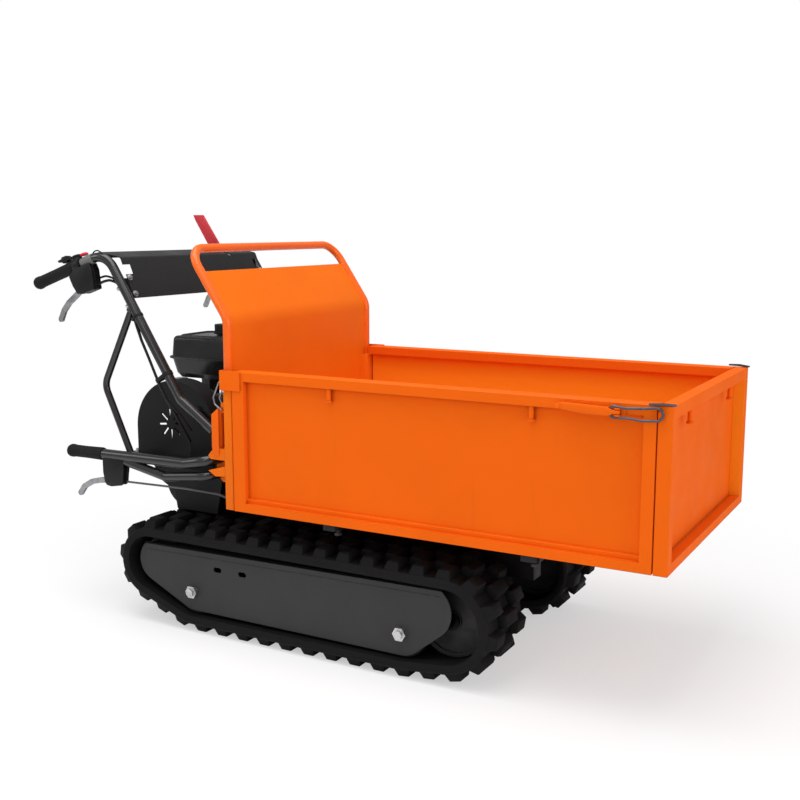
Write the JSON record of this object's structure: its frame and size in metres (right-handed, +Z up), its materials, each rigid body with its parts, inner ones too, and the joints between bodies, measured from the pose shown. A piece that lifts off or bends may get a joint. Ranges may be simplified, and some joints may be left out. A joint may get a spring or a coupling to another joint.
{
  "type": "tracked power carrier",
  "caption": "Walk-behind rubber-tracked carrier with an orange extending tipping tray, petrol engine, tall handlebars with hand levers and a tipping handle.",
  "frame": {"origin": "on the ground, midway along the length, on the centre plane between the tracks", "axes": "+X forward to the tray's front panel, +Y to the machine's left, +Z up"},
  "size_m": [1.62, 0.674, 0.9743],
  "materials": {
    "orange_paint": "semi-gloss",
    "black_paint": "satin",
    "grey_paint": "satin",
    "track_rubber": "matte",
    "grip_rubber": "matte",
    "black_plastic": "satin",
    "red_plastic": "gloss",
    "red_paint": "semi-gloss",
    "zinc_steel": "zinc plated",
    "cast_aluminium": "as cast",
    "lever_alloy": "satin",
    "cast_iron": "painted"
  },
  "bodies": {
    "chassis": {"chassis_frame": "black_paint", "gearbox": "cast_iron", "fasteners": "zinc_steel", "track_axles": "zinc_steel", "side_cover_right": "grey_paint", "side_cover_left": "grey_paint", "track_right": "track_rubber", "track_left": "track_rubber", "engine_block": "cast_aluminium", "blower_housing": "black_paint", "fuel_tank": "black_paint", "muffler": "zinc_steel", "air_filter": "black_plastic", "belt_guard": "black_paint", "drive_belt": "track_rubber", "handlebar_right": "black_paint", "handlebar_left": "black_paint", "console_panel": "grey_paint", "handlebar_grips": "grip_rubber", "grip_housings": "black_plastic", "control_cables": "grip_rubber", "tray_buffers": "track_rubber", "recoil_handle": "black_plastic"},
    "tray": {"tray_floor": "orange_paint", "tray_frame": "black_paint", "headboard": "orange_paint", "tipping_handle": "black_paint", "tipping_grip": "grip_rubber", "release_bracket": "black_paint", "release_cable": "grip_rubber", "clamp_screws": "zinc_steel"},
    "sprocket_right": {"sprocket_right": "cast_iron"},
    "sprocket_left": {"sprocket_left": "cast_iron"},
    "idler_right": {"idler_right": "cast_iron"},
    "idler_left": {"idler_left": "cast_iron"},
    "roller_front_right": {"roller_front_right": "cast_iron"},
    "roller_rear_right": {"roller_rear_right": "cast_iron"},
    "roller_front_left": {"roller_front_left": "cast_iron"},
    "roller_rear_left": {"roller_rear_left": "cast_iron"},
    "engine_pulley": {"engine_pulley": "cast_iron"},
    "gearbox_pulley": {"gearbox_pulley": "cast_iron"},
    "fuel_cap": {"fuel_cap": "black_plastic"},
    "clutch_lever_right": {"clutch_lever_right": "lever_alloy"},
    "clutch_lever_left": {"clutch_lever_left": "lever_alloy"},
    "throttle_lever": {"throttle_lever": "black_plastic"},
    "stop_button": {"stop_button": "red_plastic"},
    "gear_lever": {"gear_lever": "red_paint"},
    "release_lever": {"release_lever": "lever_alloy"},
    "catch_hook": {"catch_hook": "zinc_steel"},
    "side_panel_right": {"side_panel_right": "orange_paint"},
    "side_panel_left": {"side_panel_left": "orange_paint"},
    "front_panel": {"front_panel": "orange_paint"},
    "latch_lever_front_right": {"latch_lever_front_right": "orange_paint"},
    "latch_loop_front_right": {"latch_loop_front_right": "zinc_steel"},
    "latch_lever_front_left": {"latch_lever_front_left": "orange_paint"},
    "latch_loop_front_left": {"latch_loop_front_left": "zinc_steel"},
    "latch_lever_rear_right": {"latch_lever_rear_right": "orange_paint"},
    "latch_loop_rear_right": {"latch_loop_rear_right": "zinc_steel"},
    "latch_lever_rear_left": {"latch_lever_rear_left": "orange_paint"},
    "latch_loop_rear_left": {"latch_loop_rear_left": "zinc_steel"}
  },
  "joints": [
    {"name": "tray_tip", "type": "hinge", "parent": "chassis", "child": "tray", "pos_m": [0.45, 0, 0.275], "axis": [0, 1, 0], "range_deg": [0, 40]},
    {"name": "side_slide_right", "type": "slide", "parent": "tray", "child": "side_panel_right", "axis": [0, -1, 0], "range_m": [0, 0.15]},
    {"name": "side_slide_left", "type": "slide", "parent": "tray", "child": "side_panel_left", "axis": [0, 1, 0], "range_m": [0, 0.15]},
    {"name": "front_slide", "type": "slide", "parent": "tray", "child": "front_panel", "axis": [1, 0, 0], "range_m": [0, 0.1]},
    {"name": "latch_front_right", "type": "hinge", "parent": "side_panel_right", "child": "latch_lever_front_right", "pos_m": [0.709, -0.328, 0.614], "axis": [0, 0, 1], "range_deg": [0, 130]},
    {"name": "latch_loop_front_right_turn", "type": "hinge", "parent": "latch_lever_front_right", "child": "latch_loop_front_right", "pos_m": [0.697, -0.328, 0.614], "axis": [0, 0, 1], "range_deg": [-130, 0]},
    {"name": "latch_rear_right", "type": "hinge", "parent": "tray", "child": "latch_lever_rear_right", "pos_m": [-0.21, -0.3035, 0.552], "axis": [0, 1, 0], "range_deg": [0, 130]},
    {"name": "latch_loop_rear_right_turn", "type": "hinge", "parent": "latch_lever_rear_right", "child": "latch_loop_rear_right", "pos_m": [-0.21, -0.3035, 0.54], "axis": [0, 1, 0], "range_deg": [-130, 0]},
    {"name": "latch_front_left", "type": "hinge", "parent": "side_panel_left", "child": "latch_lever_front_left", "pos_m": [0.709, 0.328, 0.614], "axis": [0, 0, -1], "range_deg": [0, 130]},
    {"name": "latch_loop_front_left_turn", "type": "hinge", "parent": "latch_lever_front_left", "child": "latch_loop_front_left", "pos_m": [0.697, 0.328, 0.614], "axis": [0, 0, -1], "range_deg": [-130, 0]},
    {"name": "latch_rear_left", "type": "hinge", "parent": "tray", "child": "latch_lever_rear_left", "pos_m": [-0.21, 0.3035, 0.552], "axis": [0, 1, 0], "range_deg": [0, 130]},
    {"name": "latch_loop_rear_left_turn", "type": "hinge", "parent": "latch_lever_rear_left", "child": "latch_loop_rear_left", "pos_m": [-0.21, 0.3035, 0.54], "axis": [0, 1, 0], "range_deg": [-130, 0]},
    {"name": "tip_release", "type": "hinge", "parent": "tray", "child": "release_lever", "pos_m": [-0.556, -0.312, 0.34], "axis": [0, 1, 0], "range_deg": [0, 25], "stiffness_Nm_per_rad": 2, "springref_deg": -11.46},
    {"name": "catch_turn", "type": "hinge", "parent": "tray", "child": "catch_hook", "pos_m": [-0.14, 0, 0.288], "axis": [0, 1, 0], "range_deg": [0, 15]},
    {"name": "clutch_right", "type": "hinge", "parent": "chassis", "child": "clutch_lever_right", "pos_m": [-0.652, -0.28, 0.8], "axis": [0, 1, 0], "range_deg": [0, 25], "stiffness_Nm_per_rad": 2, "springref_deg": -11.46},
    {"name": "clutch_left", "type": "hinge", "parent": "chassis", "child": "clutch_lever_left", "pos_m": [-0.652, 0.28, 0.8], "axis": [0, 1, 0], "range_deg": [0, 25], "stiffness_Nm_per_rad": 2, "springref_deg": -11.46},
    {"name": "throttle_turn", "type": "hinge", "parent": "chassis", "child": "throttle_lever", "pos_m": [-0.66665, -0.28, 0.88019], "axis": [-0.3269, 0, 0.9451], "range_deg": [0, 70]},
    {"name": "stop_press", "type": "slide", "parent": "chassis", "child": "stop_button", "axis": [0.3269, 0, -0.9451], "range_m": [0, 0.003], "stiffness_N_per_m": 300, "springref_m": -0.002},
    {"name": "gear_shift", "type": "hinge", "parent": "chassis", "child": "gear_lever", "pos_m": [-0.546, 0.15, 0.838], "axis": [0, 1, 0], "range_deg": [-12, 12]},
    {"name": "fuel_cap_turn", "type": "hinge", "parent": "chassis", "child": "fuel_cap", "pos_m": [-0.446, 0.005, 0.675], "axis": [0, 0, 1], "range_deg": [0, 90]},
    {"name": "gearbox_input", "type": "hinge", "parent": "chassis", "child": "gearbox_pulley", "pos_m": [-0.43, -0.166, 0.322], "axis": [0, 1, 0], "continuous": true},
    {"name": "engine_crank", "type": "hinge", "parent": "chassis", "child": "engine_pulley", "pos_m": [-0.43, -0.166, 0.485], "axis": [0, 1, 0], "continuous": true},
    {"name": "track_run_right", "type": "hinge", "parent": "chassis", "child": "idler_right", "pos_m": [0.348, -0.228, 0.131], "axis": [0, 1, 0], "continuous": true},
    {"name": "sprocket_right_turn", "type": "hinge", "parent": "chassis", "child": "sprocket_right", "pos_m": [-0.44, -0.228, 0.15], "axis": [0, 1, 0], "continuous": true},
    {"name": "roller_front_right_turn", "type": "hinge", "parent": "chassis", "child": "roller_front_right", "pos_m": [0.243, -0.228, 0.095], "axis": [0, 1, 0], "continuous": true},
    {"name": "roller_rear_right_turn", "type": "hinge", "parent": "chassis", "child": "roller_rear_right", "pos_m": [-0.318, -0.228, 0.095], "axis": [0, 1, 0], "continuous": true},
    {"name": "track_run_left", "type": "hinge", "parent": "chassis", "child": "idler_left", "pos_m": [0.348, 0.228, 0.131], "axis": [0, 1, 0], "continuous": true},
    {"name": "sprocket_left_turn", "type": "hinge", "parent": "chassis", "child": "sprocket_left", "pos_m": [-0.44, 0.228, 0.15], "axis": [0, 1, 0], "continuous": true},
    {"name": "roller_front_left_turn", "type": "hinge", "parent": "chassis", "child": "roller_front_left", "pos_m": [0.243, 0.228, 0.095], "axis": [0, 1, 0], "continuous": true},
    {"name": "roller_rear_left_turn", "type": "hinge", "parent": "chassis", "child": "roller_rear_left", "pos_m": [-0.318, 0.228, 0.095], "axis": [0, 1, 0], "continuous": true}
  ],
  "couplings": [
    {"joint": "latch_loop_front_right_turn", "follows": "latch_front_right", "ratio": -1},
    {"joint": "latch_loop_rear_right_turn", "follows": "latch_rear_right", "ratio": -1},
    {"joint": "latch_loop_front_left_turn", "follows": "latch_front_left", "ratio": -1},
    {"joint": "latch_loop_rear_left_turn", "follows": "latch_rear_left", "ratio": -1},
    {"joint": "catch_turn", "follows": "tip_release", "ratio": 0.6},
    {"joint": "engine_crank", "follows": "gearbox_input", "ratio": 1.381},
    {"joint": "sprocket_right_turn", "follows": "track_run_right", "ratio": 1.2615},
    {"joint": "roller_front_right_turn", "follows": "track_run_right", "ratio": 1.4386},
    {"joint": "roller_rear_right_turn", "follows": "track_run_right", "ratio": 1.4386},
    {"joint": "sprocket_left_turn", "follows": "track_run_left", "ratio": 1.2615},
    {"joint": "roller_front_left_turn", "follows": "track_run_left", "ratio": 1.4386},
    {"joint": "roller_rear_left_turn", "follows": "track_run_left", "ratio": 1.4386}
  ]
}
